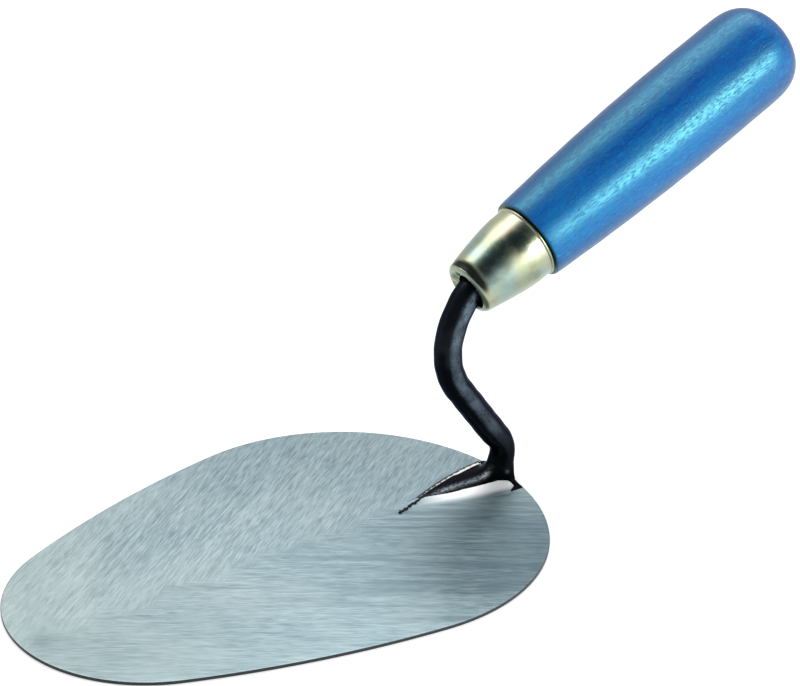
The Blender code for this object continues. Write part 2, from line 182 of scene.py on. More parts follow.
def blended(share, first, second):
    """The first colour where the share is 0 and the second where it is 1."""
    return add(share.id_data, "Mix", {"Factor": share, 6: first, 7: second}, data_type="RGBA").outputs[2]


def between(share, first, second):
    """The same for two plain values."""
    return add(share.id_data, "Mix", {"Factor": share, 2: first, 3: second}, data_type="FLOAT").outputs[0]


def noise(vector, scale, detail=3.0, roughness=0.5):
    values = {"Vector": vector, "Scale": scale, "Detail": detail, "Roughness": roughness}
    return add(vector.id_data, "TexNoise", values).outputs["Fac"]


def stretched(vector, scale):
    """The vector with each of its parts multiplied by its own scale."""
    return add(vector.id_data, "VectorMath", {0: vector, 1: scale}, operation="MULTIPLY").outputs[0]


def rotated(vector, y_angle, z_angle):
    """The vector turned about Y and Z, by angles in radians."""
    values = {"Vector": vector, "Rotation": (0.0, y_angle, z_angle)}
    return add(vector.id_data, "Mapping", values).outputs[0]


def parts_of(vector):
    """The vector's X, Y and Z."""
    return add(vector.id_data, "SeparateXYZ", {0: vector}).outputs[:]


def bumped(height, strength, distance):
    """The normal of a surface that rises and falls with the height."""
    values = {"Height": height, "Strength": strength, "Distance": distance}
    return add(height.id_data, "Bump", values).outputs[0]


def material_from(recipe):
    """A material named after its recipe, a function of the node tree and of the object's coordinates
    that says what goes into the Principled shader."""
    material = bpy.data.materials.new(recipe.__name__)
    material.use_nodes = True
    tree = material.node_tree
    place = add(tree, "TexCoord").outputs["Object"]
    fill(tree.nodes["Principled BSDF"], recipe(tree, place))
    print(f"Material {material.name}: {len(tree.nodes)} nodes")
    return material


def mark_of(tree, name):
    """A piece's own named value, between 0 and 1."""
    return add(tree, "Attribute", attribute_name=name, attribute_type="GEOMETRY").outputs["Fac"]


# %% [markdown]
# ## Effects that several finishes share
#
# Grinding, brushing and polishing all leave long thin lines: the same effect with other lengths and
# widths. Lacquer, plating and steel all have spots where something is missing or has settled. So both
# effects are node groups, which each material places with values of its own.

# %% Ground lines and spots
def group_from(recipe, inputs):
    """A node group named after its recipe, a function of the group's tree, a place and the inputs that
    says what its outputs are. The inputs are plain values, given here with their defaults."""
    group = bpy.data.node_groups.new(recipe.__name__, "ShaderNodeTree")
    group.interface.new_socket(name="Place", in_out="INPUT", socket_type="NodeSocketVector")
    for label, default in inputs.items():
        socket = group.interface.new_socket(name=label, in_out="INPUT", socket_type="NodeSocketFloat")
        socket.default_value = default
    results = recipe(group, *group.nodes.new("NodeGroupInput").outputs[:-1])
    for label in results:
        group.interface.new_socket(name=label, in_out="OUTPUT", socket_type="NodeSocketFloat")
    fill(group.nodes.new("NodeGroupOutput"), results)
    print(f"Group {group.name}: {len(group.nodes)} nodes")
    return group


def from_group(group, *values):
    """The outputs of a group placed in a material, with its inputs filled in their order."""
    return add(values[0].id_data, "Group", dict(enumerate(values)), node_tree=group).outputs[:]


def ground_lines(group, place, per_metre, length_share, unevenness):
    """Noise drawn out along X: coarse lines and fine lines added, with their strength between 0 and 1."""
    along, across, up = parts_of(place)
    drawn = add(group, "CombineXYZ", {0: product(along, length_share), 1: across, 2: up}).outputs[0]
    fine = noise(drawn, per_metre, 2.0, 0.6)
    broad = noise(drawn, product(per_metre, 0.22), 2.0, 0.55)
    mixed = between(unevenness, fine, broad)
    return {"Lines": remap(mixed, 0.30, 0.70), "Height": mixed}


def spots(group, place, per_metre, size, share):
    """Round spots at random places: 1 inside a spot and 0 outside, over a noise that thins them out."""
    distance = add(group, "TexVoronoi", {"Vector": place, "Scale": per_metre}).outputs["Distance"]
    kept = maths("LESS_THAN", noise(place, product(per_metre, 0.3), 2.0), share)
    return {"Mask": product(maths("LESS_THAN", distance, size), kept)}


GROUND_LINES = group_from(ground_lines, {"Lines per metre": 900.0, "Length share": 0.03, "Unevenness": 0.5})
SPOTS = group_from(spots, {"Spots per metre": 400.0, "Size": 0.2, "Share": 0.5})

# %% [markdown]
# ## The blade
#
# The blade is cut from hardened sheet and ground on a belt, thicker in the middle than at its rim. Its
# outline could be traced by eye with a Bezier curve; four arcs that flow into each other say more,
# because they are how such a blade is drawn: a heel arc round a point on the axis, a tight shoulder, a
# long flat side and a round tip.

# %% The blade's outline
BLADE_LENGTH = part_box("blade")[1].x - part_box("blade")[0].x
BLADE_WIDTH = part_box("blade")[1].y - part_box("blade")[0].y
HEEL_RADIUS = 0.0692
HEEL_HALF_ANGLE = radians(34.0)
SIDE_RADIUS = 0.3074
TIP_RADIUS = 0.0471
RIM_THICKNESS = 0.0011
MIDDLE_THICKNESS = 0.0019
MIDDLE = np.array([-0.0400, 0.0])


def outline_arcs():
    """The arcs as centre from the heel, centre off the axis, radius, start and end. The side arc touches
    the shoulder and tip arcs from outside both, so its centre lies on two circles round theirs."""
    end = HEEL_HALF_ANGLE
    shoulder = (BLADE_WIDTH / 2 - HEEL_RADIUS * sin(end)) / (1 - sin(end))
    inward = HEEL_RADIUS - shoulder
    shoulder_at = np.array([HEEL_RADIUS - inward * cos(end), inward * sin(end)])
    tip_at = np.array([BLADE_LENGTH - TIP_RADIUS, 0.0])
    apart = np.hypot(*(tip_at - shoulder_at))
    to_shoulder, to_tip = SIDE_RADIUS - shoulder, SIDE_RADIUS - TIP_RADIUS
    along = (to_shoulder**2 - to_tip**2 + apart**2) / (2 * apart)
    across = (to_shoulder**2 - along**2) ** 0.5
    ahead = (tip_at - shoulder_at) / apart
    side_at = shoulder_at + along * ahead + across * np.array([ahead[1], -ahead[0]])
    turn_in = np.arctan2(shoulder_at[1] - side_at[1], side_at[0] - shoulder_at[0])
    turn_out = np.arctan2(-side_at[1], side_at[0] - tip_at[0])
    return (
        (HEEL_RADIUS, 0.0, HEEL_RADIUS, 0.0, end),
        (*shoulder_at, shoulder, end, turn_in),
        (*side_at, SIDE_RADIUS, turn_in, turn_out),
        (*tip_at, TIP_RADIUS, turn_out, pi),
    )


def blade_outline(step=0.0008):
    """The closed outline as X and Y, from the heel round by +Y to the tip and back by -Y."""
    half = []
    for centre_u, centre_y, radius, start, end in outline_arcs():
        turn = np.linspace(start, end, int(radius * (end - start) / step) + 2, endpoint=False)
        half.append(np.column_stack((radius * np.cos(turn) - centre_u, centre_y + radius * np.sin(turn))))
    half = np.vstack(half)
    return np.vstack((half, [[-BLADE_LENGTH, 0.0]], half[:0:-1] * (1, -1)))


OUTLINE = blade_outline()
print("Outline:", len(OUTLINE), "points")


# %% [markdown]
# The blade is ground thinner towards its rim, so that it springs evenly under the hand. The face could
# be sculpted, but a formula can also be asked for its height at any place, and that is how the neck and
# the weld will find the face that they lie on.

# %% The blade's top face
def blade_top(x, y):
    """Height of the ground face. It falls from the middle point to the rim by the square of the share
    of the way out, and stays at the rim's height outside the outline."""
    spokes = OUTLINE - MIDDLE
    angles = np.arctan2(spokes[:, 1], spokes[:, 0])
    order = np.argsort(angles)
    reach = np.hypot(spokes[:, 0], spokes[:, 1])
    out_x, out_y = x - MIDDLE[0], y - MIDDLE[1]
    limit = np.interp(np.arctan2(out_y, out_x), angles[order], reach[order], period=2 * pi)
    share = np.clip(np.hypot(out_x, out_y) / limit, 0, 1)
    return RIM_THICKNESS + (MIDDLE_THICKNESS - RIM_THICKNESS) * (1 - share**2)


print("Thickness of the heel's edge:", round(float(blade_top(0.0, 0.0)) * 1000, 2), "mm")


# %% [markdown]
# The ground finish is two fans of fine lines that meet on the axis, because each half is drawn across
# the belt at a slant. A photograph of real steel could be laid on. Noise stretched along the grinding
# direction has no seams and stays sharp close by, and a smooth share of Y fades one fan into the other.
# The rim keeps the dark scale of the hardening fire, so a mark on its points tells the material where
# it is.

# %% Ground steel
# The far half is ground at the first angle to the axis, and the near half at the second
GRIND_DEG = (34.0, -36.0)
STEEL_DARK = (0.165, 0.245, 0.283)
STEEL_LIGHT = (0.385, 0.495, 0.525)
STEEL_GREY = (0.24, 0.30, 0.285)
STEEL_PALE = (0.54, 0.61, 0.59)
RIM_SCALE = (0.02, 0.028, 0.03)
TIP_FROM = HEEL_X - 0.09
TIP_TO = HEEL_X - 0.18


def ground_steel(tree, place):
    along, across, _ = parts_of(place)
    fans = [rotated(place, 0.0, radians(-angle_deg)) for angle_deg in GRIND_DEG]
    far, near = [from_group(GROUND_LINES, fan, 3300.0, 0.055, 0.24) for fan in fans]
    wander = product(maths("SUBTRACT", noise(place, 90.0), 0.5), 0.030)
    far_share = remap(maths("ADD", across, wander), -0.006, 0.006)
    level, height = [between(far_share, *pair) for pair in zip(near, far)]
    steel = blended(level, STEEL_DARK, STEEL_LIGHT)
    # Towards the tip the far half turns paler and the near half greyer
    towards_tip = remap(along, TIP_FROM, TIP_TO)
    far_tip = product(product(towards_tip, far_share), 0.25)
    near_tip = product(maths("SUBTRACT", towards_tip, far_tip), 0.40)
    pale = maths("ADD", remap(noise(place, 30.0), 0.35, 0.70, 0.0, 0.20), far_tip)
    ground = blended(pale, blended(near_tip, steel, STEEL_GREY), STEEL_PALE)
    tinted = near_the_heel(tree, place, fans[1], far_share, level, ground)
    rim = mark_of(tree, "rim")
    return {
        "Base Color": blended(rim, tinted, RIM_SCALE),
        "Roughness": remap(level, 0.0, 1.0, 0.34, 0.50),
        "Metallic": maths("SUBTRACT", 0.92, product(rim, 0.6)),
        "Normal": bumped(height, 0.40, 0.00010)}


# %% [markdown]
# Close to the neck three more things show: the steel is darker towards the heel and darker still round a
# spot on the near side, a painted dark reflection of the neck; a band that the grinder on the weld left
# paler as it ran out; and streaks where the belt pressed harder. They could be painted on a mask. Ramps
# over distances do the same, and each can be moved by changing one number.

# %% Tints near the heel
STEEL_PRESSED = (0.105, 0.165, 0.20)
DARKENED_STEEL_DARK = (0.080, 0.130, 0.155)
DARKENED_STEEL_LIGHT = (0.200, 0.290, 0.330)
DARK_REFLECTION_AT = (HEEL_X - 0.016, -0.036, 0.0)
DARKER_FROM = HEEL_X - 0.105
DARKER_TO = HEEL_X - 0.020
DRESSED_DEG = 31.6


def near_the_heel(tree, place, near_fan, far_share, level, ground):
    """The ground colour, darker to the heel and by a painted dark reflection, with band and streaks."""
    away = add(tree, "VectorMath", {0: place, 1: DARK_REFLECTION_AT}, operation="DISTANCE").outputs["Value"]
    band_along, band_across, _ = parts_of(rotated(place, 0.0, radians(DRESSED_DEG)))
    band = product(remap(band_across, -0.0128, -0.0108), remap(band_along, 0.080, 0.040))
    # Painted dark reflection of the neck round a spot on the near side, weaker on the dressed band
    darkened = product(remap(away, 0.012, 0.075, 0.75, 0.0), remap(band, 0.0, 1.0, 1.0, 0.25))
    # Darker towards the heel
    all_over = remap(parts_of(place)[0], DARKER_FROM, DARKER_TO, 0.0, 0.26)
    darkened = maths("MAXIMUM", darkened, all_over)
    tinted = blended(darkened, ground, blended(level, DARKENED_STEEL_DARK, DARKENED_STEEL_LIGHT))
    streaks = noise(stretched(near_fan, (0.07, 1.0, 1.0)), 380.0, 3.0, 0.6)
    pressed = product(remap(streaks, 0.46, 0.64), remap(far_share, 1.0, 0.0))
    pressed = product(pressed, remap(away, 0.100, 0.030, 0.10, 0.60))
    return blended(pressed, tinted, STEEL_PRESSED)


GROUND_STEEL = material_from(ground_steel)


# %% [markdown]
# The blade could be a filled curve with a Solidify and a Bevel modifier, but then its top would be flat.
# Here the outline is carried round a profile: out over the crowned top, down the rim, which is slightly
# rounded, and back underneath.

# %% Build the blade
def make_blade(rim_round=0.00018):
    """A row is the outline shrunk towards the middle point and moved in by the rim's rounding. Its
    height comes from the top face's own formula, from the rim's quarter circles or is 0 underneath."""
    tangent = np.roll(OUTLINE, -1, axis=0) - np.roll(OUTLINE, 1, axis=0)
    tangent /= np.linalg.norm(tangent, axis=1, keepdims=True)
    inward = rim_round * np.column_stack((-tangent[:, 1], tangent[:, 0]))
    rows, rim = [], []

    def row(plan, height, mark):
        rows.append(np.column_stack((plan, np.broadcast_to(height, len(plan)))))
        rim.append(np.full(len(plan), mark))

    edge = OUTLINE + inward
    for share in 1 - np.linspace(1, 0, 30)[:-1] ** 1.6:
        plan = MIDDLE + max(share, 0.004) * (edge - MIDDLE)
        row(plan, blade_top(plan[:, 0], plan[:, 1]), 0.0)
    for turn in np.linspace(0, pi / 2, 4):
        height = RIM_THICKNESS - rim_round * (1 - cos(turn))
        row(OUTLINE + (1 - sin(turn)) * inward, height, float(turn > 0.1))
    for turn in np.linspace(pi / 2, 0, 4):
        row(OUTLINE + (1 - sin(turn)) * inward, rim_round * (1 - cos(turn)), 1.0)
    for share in (0.98, 0.8, 0.6, 0.4, 0.2, 0.01):
        row(MIDDLE + share * (edge - MIDDLE), 0.0, 0.0)
    return woven("ground_blade", np.array(rows), GROUND_STEEL, marks={"rim": np.array(rim)})


blade = make_blade()
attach(blade, "root")
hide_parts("blade")

# %% [markdown]
# ## The neck
#
# One bar is forged hot into the whole neck: a tongue that lies on the blade, a thin rib along the heel
# and the S-bend up to the handle. Overlapping solids could be joined with a Boolean, but that leaves
# sharp creases where forged steel has soft ones. Here each limb is a field, a formula for the distance
# to its skin, and a smooth minimum melts the fields together. The neck is where the result is zero.

# %% The bar's middle line
BAR_RADIUS = 0.0091 / 2
FOOT_X = -0.0021
FOOT_Z = float(blade_top(FOOT_X, 0.0))
FOOT_HEADING_DEG = 81.3
# Each stretch of the bar: the length of a straight one or the radius of a bend, and the heading at its
# end in degrees, upwards from +X
STRETCHES = (
    (0.0066, 81.3), (0.0103, 125.5), (0.0272, 125.5), (0.0234, 74.5), (0.0309, 47.3), (0.0115, 24.4),
    (0.0120, 24.4))


def bar_line(step=0.0004):
    """Places and headings along the bar. The heading changes evenly with length in a bend, and the place
    is the running sum of the heading's cosine and sine."""
    knots, headings = [0.0], [FOOT_HEADING_DEG]
    for size, heading in STRETCHES:
        turn = radians(abs(heading - headings[-1]))
        knots.append(knots[-1] + (size * turn if turn else size))
        headings.append(heading)
    length = np.arange(0.0, knots[-1], step)
    middle = np.interp(length + step / 2, knots, np.radians(headings))
    x, z = [start + np.concatenate(([0.0], np.cumsum(part(middle) * step)[:-1]))
            for start, part in ((FOOT_X, np.cos), (FOOT_Z, np.sin))]
    return np.interp(length, knots, np.radians(headings)), x, z


BAR_HEADING, BAR_X, BAR_Z = bar_line()
GRIP_HEADING = float(BAR_HEADING[-1])
print("The bar ends at", round(BAR_X[-1] * 1000, 2), round(BAR_Z[-1] * 1000, 2), "mm from the heel")


# %% [markdown]
# The tongue is a leaf, the rib follows the heel arc and the bar is a tube round its middle line. Each
# needs only its own distance, in a few lines. The fillets between them, the hard part by hand, come
# from the smooth minimum, and each has a named width.

# %% The neck's field
FOOT_FLARE = 0.0006
FOOT_FLARE_HEIGHT = 0.005
WAIST_DEPTH = 0.0009
WAIST_AT = 0.0092
WAIST_HALF = 0.0036
TONGUE_LENGTH = 0.0340
TONGUE_HALF = {1: 0.0090, -1: 0.0060}
TONGUE_POWER = {1: 1.6, -1: 2.0}
TONGUE_EDGE = 0.0003
TONGUE_CROWN = 0.0012
TONGUE_SWAY = 0.0010
TONGUE_FILLET = 0.0004
HEEL_CLEAR = 0.0006
RIB_MIDDLE = 0.0014
RIB_HALF = 0.0011
RIB_RISE = 0.0010
RIB_REACH = {1: 0.0088, -1: 0.0122}
RIB_FILLET = 0.0005
TOE_FROM = 0.0095
TOE_SPREAD = 0.0016
ROOT_FILLET = 0.0012
BAR_FILLET = 0.0032
WAVE_HEIGHT = 0.00004
SKIN_FLOOR = 0.0003


def melt(first, second, reach):
    """The smaller of two fields, with a fillet as wide as the reach where they are nearly equal."""
    near = np.maximum(reach - np.abs(first - second), 0) / reach
    return np.minimum(first, second) - near * near * reach / 4


def bar_field(x, y, z):
    """Distance to the bar: the nearest point of its middle line lies in the plane Y = 0, so it is found
    from X and Z alone, and Y is added to the distance square to the line. The bar flares at its foot
    and has a waist on the inside of its lower bend."""
    near = np.argmin((x[..., None] - BAR_X) ** 2 + (z[..., None] - BAR_Z) ** 2, axis=-1)
    heading, dx, dz = BAR_HEADING[near], x - BAR_X[near], z - BAR_Z[near]
    side = dz * np.cos(heading) - dx * np.sin(heading)
    past = dx * np.cos(heading) + dz * np.sin(heading)
    radius = BAR_RADIUS + FOOT_FLARE * np.clip(1 - (z - FOOT_Z) / FOOT_FLARE_HEIGHT, 0, 1) ** 2
    waist = WAIST_DEPTH * np.exp(-(((z - WAIST_AT) / WAIST_HALF) ** 2)) * ease(side, -0.001, 0.004)
    tube = np.hypot(side, y) - radius + waist
    return np.maximum(tube, np.where(near == len(BAR_X) - 1, past, -1.0))


def tongue_half(share, side):
    """Half the tongue's width on one side of its middle line: a power curve that falls to its tip."""
    return TONGUE_HALF[side] * (1 - share ** TONGUE_POWER[side])


def tongue_field(x, y, z):
    """The tongue is a leaf, wider on the far side, with a ridge that fades towards its tip."""
    share = np.clip(-x / TONGUE_LENGTH, 0, 1)
    off = y - TONGUE_SWAY * share**2
    half = np.where(off > 0, tongue_half(share, 1), tongue_half(share, -1))
    over = np.clip(1 - (off / np.maximum(half, 1e-5)) ** 2, 0, 1) ** 1.3
    top = blade_top(x, y) + TONGUE_EDGE + TONGUE_CROWN * (1 - 0.7 * share) * over * (1 - share**2) ** 0.5
    behind = HEEL_CLEAR - HEEL_RADIUS + np.hypot(x + HEEL_RADIUS, y)
    return -melt(-(z - top), -np.maximum(np.abs(off) - half, behind), TONGUE_FILLET)


def rib_field(x, y, z):
    """The rib follows the heel arc. Its far end is short, and its near end spreads into a toe."""
    inside = HEEL_RADIUS - np.hypot(x + HEEL_RADIUS, y)
    end = np.where(y > 0, RIB_REACH[1], RIB_REACH[-1])
    spread = TOE_SPREAD * ease(-y, TOE_FROM, RIB_REACH[-1])
    share = np.abs(y) / end
    top = blade_top(x, y) + RIB_RISE * (1 - 0.55 * np.clip(share, 0, 1) ** 2)
    off = np.abs(inside - RIB_MIDDLE - 0.8 * spread)
    walls = np.maximum(off - RIB_HALF * (1.1 - 0.3 * share) - spread, np.abs(y) - end)
    return -melt(-(z - top), -walls, RIB_FILLET)


def neck_field(x, y, z):
    """All three limbs melted together, cut off just above the blade's underside, with the slight
    unevenness of a forging: waves a few hundredths of a millimetre high."""
    root = melt(tongue_field(x, y, z), rib_field(x, y, z), ROOT_FILLET)
    skin = melt(bar_field(x, y, z), root, BAR_FILLET)
    waves = np.sin(410 * x + 630 * z) * np.sin(520 * y + 260 * z + 1.0) + np.sin(930 * z - 340 * x + 2.0)
    return np.maximum(skin + WAVE_HEIGHT * waves, SKIN_FLOOR - z)


IN_THE_BAR = np.array([[FOOT_X], [0.0], [FOOT_Z + BAR_RADIUS]])
print("Inside the bar the field is below zero:", neck_field(*IN_THE_BAR).round(4), "m")


# %% [markdown]
# Blender's Volume to Mesh node turns such a field into a mesh. Here a lattice in numpy does it, because
# each point can then be walked onto the skin along the field's slope, which keeps the tongue's thin
# edge smooth without a very fine lattice.

# %% Find the skin of a field
def walked(points, field, limit):
    """Points moved onto the field's zero by Newton's steps along its slope, each at most the limit."""
    probe = limit / 8
    for _ in range(3):
        value = field(*points.T)
        slope = np.empty_like(points)
        for axis in range(3):
            shift = np.zeros(3)
            shift[axis] = probe
            slope[:, axis] = (field(*(points + shift).T) - field(*(points - shift).T)) / (2 * probe)
        steep = np.maximum((slope**2).sum(axis=1), 0.05)
        move = -(value / steep)[:, None] * slope
        length = np.linalg.norm(move, axis=1, keepdims=True)
        points = points + move * np.minimum(1, limit / np.maximum(length, 1e-12))
    return points


def relaxed(points, quads, share):
    """Points drawn towards the middle of their neighbours."""
    total, count = np.zeros_like(points), np.zeros(len(points))
    for corner in range(4):
        pair = quads[:, corner], quads[:, (corner + 1) % 4]
        for here, beside in (pair, pair[::-1]):
            np.add.at(total, here, points[beside])
            np.add.at(count, here, 1)
    return points + share * (total / count[:, None] - points)


def skin_of(field, low, high, step):
    """Points and quads of the field's zero. Each cell of the lattice that has corners on both sides gets
    a point, and each lattice line that passes through the skin joins the four cells around it."""
    axes = [np.arange(start, end + step, step) for start, end in zip(low, high)]
    x, y, z = np.meshgrid(*axes, indexing="ij", sparse=True)
    inside = np.broadcast_to(field(x, y, z), [len(axis) for axis in axes]) < 0
    cells = [count - 1 for count in inside.shape]
    corners = sum(
        inside[i:i + cells[0], j:j + cells[1], k:k + cells[2]].astype(int)
        for i in (0, 1) for j in (0, 1) for k in (0, 1))
    crossed = (corners > 0) & (corners < 8)
    number = np.full(crossed.shape, -1)
    number[crossed] = np.arange(crossed.sum())
    points = np.argwhere(crossed) * step + step / 2 + np.array(low)
    quads = []
    for axis in range(3):
        order = (axis, (axis + 1) % 3, (axis + 2) % 3)
        full, cell = inside.transpose(order), number.transpose(order)
        below, above = full[:-1, 1:-1, 1:-1], full[1:, 1:-1, 1:-1]
        ring = np.stack([cell[:, :-1, :-1], cell[:, 1:, :-1], cell[:, 1:, 1:], cell[:, :-1, 1:]], axis=-1)
        quads += [ring[below & ~above], ring[above & ~below][:, ::-1]]
    quads = np.vstack(quads)
    for _ in range(3):
        points = walked(relaxed(points, quads, 0.6), field, step)
    return points, quads.tolist()


# %% [markdown]
# The neck is dipped in black lacquer. On a real one the coat is thin over the scale of the forging,
# with small pits and a few bright chips near the weld. It is darker towards the bottom, and a lighter
# grey is a painted highlight on the side of the bar that faces front and right and along the tongue's
# ridge. An image could be wrapped round it. Noise at the scale of a grain of sand needs no unwrapping,
# and named values at the neck's points say where the painted highlight lies.

# %% Black lacquer
LACQUER_BLACK = (0.004, 0.005, 0.006)
LACQUER_SCALE = (0.010, 0.012, 0.016)
LACQUER_PAINTED_HIGHLIGHT = (0.110, 0.148, 0.188)
LACQUER_PIT = (0.005, 0.007, 0.011)
RIDGE_PAINTED_HIGHLIGHT = (0.22, 0.25, 0.27)
CHIP_STEEL = (0.62, 0.66, 0.66)
LACQUER_SHINE = (0.34, 0.40, 0.46)


def black_lacquer(tree, place):
    haze = noise(place, 170.0, 5.0, 0.7)
    grain = noise(place, 1400.0, 3.0, 0.6)
    up = parts_of(place)[2]
    # Painted highlight: a lighter grey where the mark says, on the bar's side that faces front and right
    painted_highlight = product(mark_of(tree, "painted_highlight"), remap(haze, 0.32, 0.66, 0.35, 0.95))
    scale = blended(painted_highlight, LACQUER_SCALE, LACQUER_PAINTED_HIGHLIGHT)
    # Darker towards the bottom: below the lower bend the painted highlight fades out
    black = blended(remap(up, 0.0060, 0.0220), LACQUER_BLACK, scale)
    pits = from_group(SPOTS, place, 1000.0, 0.34, 0.47)[0]
    pitted = blended(product(pits, 0.50), black, LACQUER_PIT)
    # Painted highlight: a grey streak along the tongue's ridge
    streaks = product(mark_of(tree, "ridge"), remap(grain, 0.40, 0.60, 0.2, 1.0))
    ridge_highlit = blended(streaks, pitted, RIDGE_PAINTED_HIGHLIGHT)
    chips = from_group(SPOTS, place, 520.0, 0.24, 0.34)[0]
    bare = product(chips, remap(up, 0.0075, 0.0050))
    height = maths("SUBTRACT", product(grain, 0.5), pits)
    return {
        "Base Color": blended(bare, ridge_highlit, CHIP_STEEL),
        "Roughness": remap(haze, 0.30, 0.75, 0.24, 0.38),
        "Metallic": 0.85, "Specular IOR Level": 0.2, "Specular Tint": LACQUER_SHINE,
        "Normal": bumped(height, 0.55, 0.00009)}


BLACK_LACQUER = material_from(black_lacquer)

# %% [markdown]
# Where the painted highlight lies could be painted on the mesh. It is worked out here from each point's
# place and the direction that the skin faces there, so it follows the neck when its shape changes. A
# named attribute carries the values to the material.

# %% Build the neck
# Towards the front and right, the side of the bar that gets the painted highlight
PAINTED_HIGHLIGHT_TOWARDS = (-0.06, -0.99, 0.10)


def neck_marks(points, quads):
    """Where the painted highlight lies: along the side of the bar that faces front and right, found from
    the direction of each point's normal, and along the tongue's ridge, found from its place."""
    corner = points[np.array(quads)]
    face_normal = np.cross(corner[:, 2] - corner[:, 0], corner[:, 3] - corner[:, 1])
    normal = np.zeros_like(points)
    for column in range(4):
        np.add.at(normal, np.array(quads)[:, column], face_normal)
    normal /= np.linalg.norm(normal, axis=1, keepdims=True)
    x, y, z = points.T
    # Painted highlight: strongest where the skin faces front and right, weaker low on the bar
    facing = ease(normal @ np.array(PAINTED_HIGHLIGHT_TOWARDS), 0.84, 0.995)
    strength = 0.15 + 0.45 * ease(z, 0.014, 0.026) + 0.40 * ease(z, 0.030, 0.050)
    painted_highlight = ease(z, 0.006, 0.012) * facing * strength
    # Painted highlight along the tongue's ridge: a grey streak that fades at both of its ends
    share = np.clip(-x / TONGUE_LENGTH, 0, 1)
    away = y + 0.0014 * (1 - share) - 0.0006 * share
    ridge = np.exp(-((away / 0.0011) ** 2)) * ease(share, 0.12, 0.30) * ease(1 - share, 0.05, 0.35)
    return {"painted_highlight": painted_highlight, "ridge": ridge * (z < 0.006)}


NECK_LOW = (-0.0340, -0.0150, -0.0006)
NECK_HIGH = (0.0070, 0.0120, 0.0830)
NECK_STEP = 0.00042
neck_points, neck_quads = skin_of(neck_field, NECK_LOW, NECK_HIGH, NECK_STEP)
neck = piece_from("forged_neck", neck_points, neck_quads, BLACK_LACQUER, neck_marks(neck_points, neck_quads))
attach(neck, "root")
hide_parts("neck")

# %% [markdown]
# ## Rings round the grip's axis
#
# The tang, the ferrule and the handle share one straight axis, which rises from the bar's end. A Screw
# modifier would spin a profile round it. A function that lays rings along the axis does the same, and a
# ring may be anything but round, as the square tang and the pinched nose of the ferrule are.

# %% Turned surfaces
GRIP_AXIS = np.array([cos(GRIP_HEADING), 0.0, sin(GRIP_HEADING)])
GRIP_UP = np.array([-sin(GRIP_HEADING), 0.0, cos(GRIP_HEADING)])
GRIP_SIDE = np.array([0.0, 1.0, 0.0])
GRIP_OFFSET = (-0.00035, 0.0, 0.00040)
BAR_END_AT = STRETCHES[-1][0]
GRIP_START = np.array([BAR_X[-1], 0.0, BAR_Z[-1]]) - BAR_END_AT * GRIP_AXIS + GRIP_OFFSET


def angles(columns):
    return np.linspace(0, 2 * pi, columns, endpoint=False)


def turned(places, radii, columns):
    """Rings at places along the axis. A radius is one value for a ring, or a row of values round it."""
    around = angles(columns)
    out = np.cos(around)[:, None] * GRIP_SIDE + np.sin(around)[:, None] * GRIP_UP
    radii = np.broadcast_to(np.asarray(radii, float).reshape(len(places), -1), (len(places), columns))
    return GRIP_START + np.asarray(places)[:, None, None] * GRIP_AXIS + radii[..., None] * out


NOSE_AT = -0.0041
LIP_AT = NOSE_AT + 0.0259
TENON_AT = NOSE_AT + 0.0047
TANG_ROOT_HALF = 0.0033
TANG_TIP_HALF = 0.0012
TANG_FROM = BAR_END_AT - 0.004
TANG_TO = BAR_END_AT + 0.064


def make_tang():
    """The square spike inside the wood: a superellipse of the eighth power that narrows to its tip."""
    rows, columns = 24, 48
    places = np.linspace(TANG_FROM, TANG_TO, rows)
    half = np.linspace(TANG_ROOT_HALF, TANG_TIP_HALF, rows)
    square = (np.cos(angles(columns)) ** 8 + np.sin(angles(columns)) ** 8) ** (-1 / 8)
    return woven("neck_tang", turned(places, half[:, None] * square, columns), BLACK_LACQUER)


tang = make_tang()
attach(tang, "root")

# %% [markdown]
# ## The weld
#
# A strip of weld metal runs along each side of the tongue and is dressed with a grinder to a hollow
# flank, brighter than the blade. Near the heel and the tongue it is near-white, a painted highlight that
# fades to grey towards the tip and outwards. On the far side a black line along its outer toe is painted
# shade in the crease. It could be a bevel, but a bevel has one width. Each flank is a ring of points, a
# curve over the top and a flat base sunk into the blade, carried along the tongue. Its marks tell the
# material how far out a point is.

# %% Dressed flanks
WELD_GROUND_AND_HIGHLIGHT = (0.90, 0.92, 0.93)
WELD_LINES_AND_HIGHLIGHT = (0.99, 0.99, 0.99)
WELD_BEYOND_HIGHLIGHT = (0.27, 0.36, 0.39)
WELD_TOE_SHADE = (0.012, 0.014, 0.016)


def dressed_weld(tree, place):
    out, toe, highlight_to_heel = mark_of(tree, "out"), mark_of(tree, "toe"), mark_of(tree, "heel")
    lines, height = from_group(GROUND_LINES, place, 1300.0, 0.06, 0.5)
    # Painted highlight: near-white near the heel and the tongue, fading to grey towards the tip and outwards
    highlit = blended(lines, WELD_GROUND_AND_HIGHLIGHT, WELD_LINES_AND_HIGHLIGHT)
    highlight_faded = maths("MAXIMUM", remap(out, 0.35, 0.98), remap(highlight_to_heel, 0.52, 0.05))
    metal = remap(highlight_faded, 0.0, 1.0, 0.35, 0.90)
    return {
        # Painted shade: a black line along the far flank's outer toe, in the crease
        "Base Color": blended(toe, blended(highlight_faded, highlit, WELD_BEYOND_HIGHLIGHT), WELD_TOE_SHADE),
        "Roughness": remap(lines, 0.0, 1.0, 0.30, 0.42),
        "Metallic": maths("SUBTRACT", metal, product(toe, 0.3)),
        "Normal": bumped(height, 0.3, 0.0001)}


DRESSED_WELD = material_from(dressed_weld)
FLANK_START = 0.0016
FLANK_LIFT = 0.00003
FLANK_BASE = 0.0006
FLANK_UNDER_TONGUE = 0.0008
FLANK_LEAST = 0.0007


